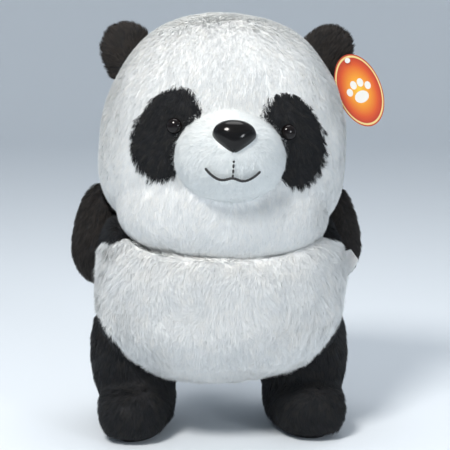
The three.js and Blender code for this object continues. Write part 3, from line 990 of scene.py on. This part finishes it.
def arm_net(side):
    points, faces = arm_egg(side).net(SMALL_BALL)
    points = HEAD.push_out(TRUNK.push_out(points, 1.0 * MM), 4.0 * MM)
    return lumpy(smoothed(points, faces, 6), faces, 0.9 * MM, 0.05, 90 + side), faces


def bend_limb(obj, body):
    """The top of a limb is sewn to the trunk. This only bakes the piece's place into its points, the same
    for arms and legs.
    """
    if body.startswith("arm"):
        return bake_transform(obj)
    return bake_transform(obj)


def limb_core(eggs):
    """The stuffing of an arm or leg: 4.5 mm inside its eggs and 5 mm clear of the trunk."""
    points, faces = remeshed([egg.net(SMALL_BALL) for egg in eggs], 3.0 * MM)
    points = smoothed(points, faces, 6)
    points = points - point_normals(points, faces) * 4.5 * MM
    points = HEAD.push_out(TRUNK.push_out(points, 5.0 * MM), 9.0 * MM)
    inside = np.any([egg.level(points, -3.0 * MM) < 1 for egg in eggs], axis=0)
    # Points driven out through the far side go to the nearest one that is still inside.
    good = points[inside]
    tree = tree_of(good)
    for i in np.flatnonzero(~inside):
        points[i] = good[tree.find(points[i])[1]]
    return points, faces


def make_limb(kind, word, net, eggs, seed, tints):
    body, node = f"{kind}_{word}", f"{kind}_cover_{word}"
    skin = mesh_object(f"{body}_cloth", *net, BLACK_CLOTH)
    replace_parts(bend_limb(skin, body), node)
    core = mesh_object(f"{body}_core_fibre", *limb_core(eggs), FIBRE)
    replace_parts(bend_limb(core, body), node.replace("cover", "stuffing"))

    def keep(p):
        inside = np.any([egg.level(p, 0.0) < 0.985 for egg in eggs], axis=0)
        against_trunk = (TRUNK.level(p, 3 * MM) < 1) & inside
        return ~against_trunk & (HEAD.level(p, 2 * MM) > 1) & (p[:, 2] > 3 * MM)

    fur = make_pile(f"{body}_pile", net, tints, seed, LIMB_GROWTH, downwards, keep, floor_room, rough=0.3)
    bend_limb(fur, body)


def floor_room(points):
    """Pile near the floor is shorter, so that it doesn't go through it."""
    return np.clip(0.25 + points[:, 2] / (14 * MM), 0.25, 1)


def leg_eggs(side):
    """The thigh and the foot."""
    hip = Egg((side * 77, 6, 74), 39, 52, 49, 66, 2.3)
    foot = Egg((side * 75, -21, 25), 30, 50, 27, 25, 2.8, turn_about("Z", side * 14))
    return [hip, foot]


def leg_net(side):
    points, faces = remeshed([egg.net(SMALL_BALL) for egg in leg_eggs(side)], 3.0 * MM)
    points = TRUNK.push_out(smoothed(points, faces, 8), 1.0 * MM)
    points = lumpy(smoothed(points, faces, 2), faces, 1.0 * MM, 0.06, 110 + side)
    points[:, 2] = np.maximum(points[:, 2], 1.2 * MM)
    return points, faces


def make_trunk_and_limbs():
    arms, legs = [arm_net(side) for side, _ in SIDES], [leg_net(side) for side, _ in SIDES]
    make_trunk(arms + legs)
    for (side, word), arm, leg in zip(SIDES, arms, legs):
        make_limb("arm", word, arm, [arm_egg(side)], 100 + side, BROWN_BLACK)
        make_limb("leg", word, leg, leg_eggs(side), 120 + side, BLACK)
        make_sole(side, word)


def make_sole(side, word):
    """The sole: a short-napped pad with a rounded edge under the foot."""
    foot = leg_eggs(side)[1]
    # The profile gives shares of the pad's outline and heights in millimetres, from its top to the floor.
    half_x, half_y, sides = foot.x * 0.66, foot.y * 0.68, 48
    profile = [(0.5, 2.6), (0.9, 2.5), (0.98, 1.9), (1.0, 1.1), (0.97, 0.3), (0.9, 0.0), (0.4, 0.0)]
    angles = np.linspace(0, 2 * math.pi, sides, endpoint=False)
    oval = np.stack([np.cos(angles) * half_x, np.sin(angles) * half_y, np.zeros(sides)], axis=1)
    floor_point = foot.centre * [1, 1, 0]
    rows = [(oval * share) @ foot.turn.T + floor_point + UP * height * MM for share, height in profile]
    points = np.vstack(rows)
    faces = [[b, a, d, c] for a, b, c, d in ring_faces(len(profile), sides)]
    faces.append(list(range(sides)))
    faces.append([(len(profile) - 1) * sides + i for i in range(sides)][::-1])
    sole = mesh_object(f"sole_{word}_pad", points, faces, BLACK_CLOTH)
    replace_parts(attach(sole, f"leg_{word}"), f"sole_{word}")


# ---------------------------------------------------------------------------------------------
# Stuffing and tack


def lining_of(node):
    """The eggs whose skins hold a lump of stuffing."""
    return {"head": [HEAD], "muzzle": [MUZZLE], "body": [TRUNK]}.get(node.split("_")[0], [])


def inside_lining(points, eggs, room):
    """Points drawn into the nearest of the eggs."""
    if not eggs:
        return points
    levels = np.stack([egg.level(points, -room) for egg in eggs])
    pulled = np.stack([egg.pull_in(points, room) for egg in eggs])
    return pulled[np.argmin(levels, axis=0), np.arange(len(points))]


def make_stuffing():
    """The fibre of the head, neck and trunk, from the CAD solids: softened and kept inside their covers."""
    for body, nodes in frame["record"]["behaviour"]["bodies"].items():
        for node in nodes:
            if "stuffing" in node and not body.startswith(("arm", "leg")):
                make_lump(body, node)


def make_lump(body, node):
    net = bmesh.new()
    net.from_mesh(frame["nodes"][node].data)
    points, faces = remeshed([points_and_triangles(net)], 4 * MM)
    points = smoothed(points, faces, 3)
    points = points - point_normals(points, faces) * 2.0 * MM
    points = inside_lining(lumpy(points, faces, 0.8 * MM, 0.02, 130), lining_of(node), 5.5 * MM)
    lump = mesh_object(f"{node}_fibre", points, faces, FIBRE)
    if body == "head":
        lump.matrix_world = LEAN
    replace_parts(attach(lump, body), node)


def paint_small_parts():
    frame["nodes"]["tag_tack"].material_slots[0].material = CLEAR


# ---------------------------------------------------------------------------------------------
# Tag and label

TAG = {"half_width": 20, "half_height": 34, "thick": 0.8, "lean": 23, "hole_radius": 1.6, "hole_inset": 5}


def tag_material():
    """Printed card: a yellow middle that turns orange-red outwards, a pale rim and a white paw print."""
    material, tree, shader = new_material("printed_card")
    links = tree.links
    place = add_node(tree, "ShaderNodeTexCoord")
    split = add_node(tree, "ShaderNodeSeparateXYZ")
    links.new(place.outputs["Object"], split.inputs["Vector"])

    def maths(operation, a, b):
        node = add_node(tree, "ShaderNodeMath", operation=operation)
        for socket, value in zip(node.inputs, (a, b)):
            if isinstance(value, (int, float)):
                socket.default_value = value
            else:
                links.new(value, socket)
        return node.outputs[0]

    def oval(x, z, half_x, half_z):
        """How far out a point is in an oval: 1 on its edge."""
        across_part = maths("DIVIDE", maths("SUBTRACT", split.outputs["X"], x * MM), half_x * MM)
        up_part = maths("DIVIDE", maths("SUBTRACT", split.outputs["Z"], z * MM), half_z * MM)
        squares = maths("ADD", maths("POWER", across_part, 2.0), maths("POWER", up_part, 2.0))
        return maths("SQRT", squares, 0.0)

    far = oval(0, 0, TAG["half_width"], TAG["half_height"])
    stops = [
        (0.0, (0.80, 0.50, 0.04)),
        (0.35, (0.76, 0.30, 0.02)),
        (0.72, (0.60, 0.08, 0.01)),
        (0.90, (0.42, 0.03, 0.01)),
        (0.915, (0.72, 0.55, 0.22)),
        (0.955, (0.72, 0.55, 0.22)),
        (0.97, (0.42, 0.04, 0.01)),
    ]
    ramp = add_ramp(tree, stops)
    links.new(far, ramp.inputs["Fac"])
    paw = None
    toes = [(-8.6, 1.5, 2.7, 3.6), (-3.2, 6.4, 2.8, 3.9), (3.2, 6.4, 2.8, 3.9), (8.6, 1.5, 2.7, 3.6)]
    for pad in [(0, -6, 6.4, 5.4), *toes]:
        inside = maths("LESS_THAN", oval(*pad), 1.0)
        paw = inside if paw is None else maths("MAXIMUM", paw, inside)
    mix = add_node(tree, "ShaderNodeMix", data_type="RGBA")
    links.new(paw, mix.inputs["Factor"])
    links.new(ramp.outputs["Color"], mix.inputs[6])
    mix.inputs[7].default_value = (0.74, 0.72, 0.68, 1)
    links.new(mix.outputs[2], shader.inputs["Base Color"])
    set_inputs(shader, {"Roughness": 0.35, "Coat Weight": 0.3})
    return material


def make_tag():
    """The oval card with a hole, in its own plane, then set where its CAD solid hangs."""
    net = bmesh.new()
    half_width, half_height, radius = TAG["half_width"], TAG["half_height"], TAG["hole_radius"]
    outlines = [(72, half_width, half_height, 0), (24, radius, radius, half_height - TAG["hole_inset"])]
    edges = []
    for sides, half_x, half_z, middle_z in outlines:
        ring = []
        for i in range(sides):
            angle = 2 * math.pi * i / sides
            x, z = half_x * MM * math.cos(angle), middle_z * MM + half_z * MM * math.sin(angle)
            ring.append(net.verts.new((x, 0, z)))
        for a, b in zip(ring, ring[1:] + ring[:1]):
            edges.append(net.edges.new((a, b)))
    bmesh.ops.triangle_fill(net, edges=edges, use_beauty=True, use_dissolve=False)
    mesh = bpy.data.meshes.new("hang_tag_card")
    net.to_mesh(mesh)
    net.free()
    mesh.materials.append(tag_material())
    card = add_object("hang_tag_card", mesh)
    thickness = card.modifiers.new("card", "SOLIDIFY")
    thickness.thickness = TAG["thick"] * MM
    thickness.offset = 0
    card.location = middle_of("hang_tag")
    card.rotation_euler = (0, math.radians(-TAG["lean"]), 0)
    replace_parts(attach(card, "tag"), "hang_tag")


def make_label():
    """A folded loop of satin ribbon, sewn into the left side seam."""
    low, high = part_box("care_label")
    width, reach = 19 * MM, 18 * MM
    root = np.array([low.x + 1.5 * MM, (low.y + high.y) / 2, (low.z + high.z) / 2 + 0.5 * MM])
    rows, columns = 30, 12
    points, faces = [], []
    for i in range(rows + 1):
        share = i / rows
        out = reach * (1 - abs(2 * share - 1) ** 1.6)
        bow = 1.1 * MM * math.cos(math.pi * share) * (0.5 + 0.5 * math.sin(math.pi * share))
        for k in range(columns + 1):
            down = width * (0.5 - k / columns)
            curl = 1.3 * MM * math.sin(4.4 * k / columns + 0.6) * out / reach
            twist = 1.15 * out / reach
            back = down * math.sin(twist) + bow + curl - out * 0.15
            points.append([out * 0.95, back, down * math.cos(twist) + out * 0.22])
    for i in range(rows):
        for k in range(columns):
            a = i * (columns + 1) + k
            faces.append([a, a + 1, a + columns + 2, a + columns + 1])
    points = np.array(points) @ turn_about("Y", -32).T + root
    ribbon = mesh_object("care_label_ribbon", points, faces, RIBBON)
    modifier = ribbon.modifiers.new("ribbon", "SOLIDIFY")
    modifier.thickness = 0.25 * MM
    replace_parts(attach(ribbon, "trunk"), "care_label")


make_camera()
make_studio()
FACE = face_net()
make_head(FACE)
make_muzzle(FACE)
for ear_side, ear_word in SIDES:
    make_ear(ear_side, ear_word)
make_trunk_and_limbs()
make_tail()
make_stuffing()
paint_small_parts()
make_tag()
make_label()
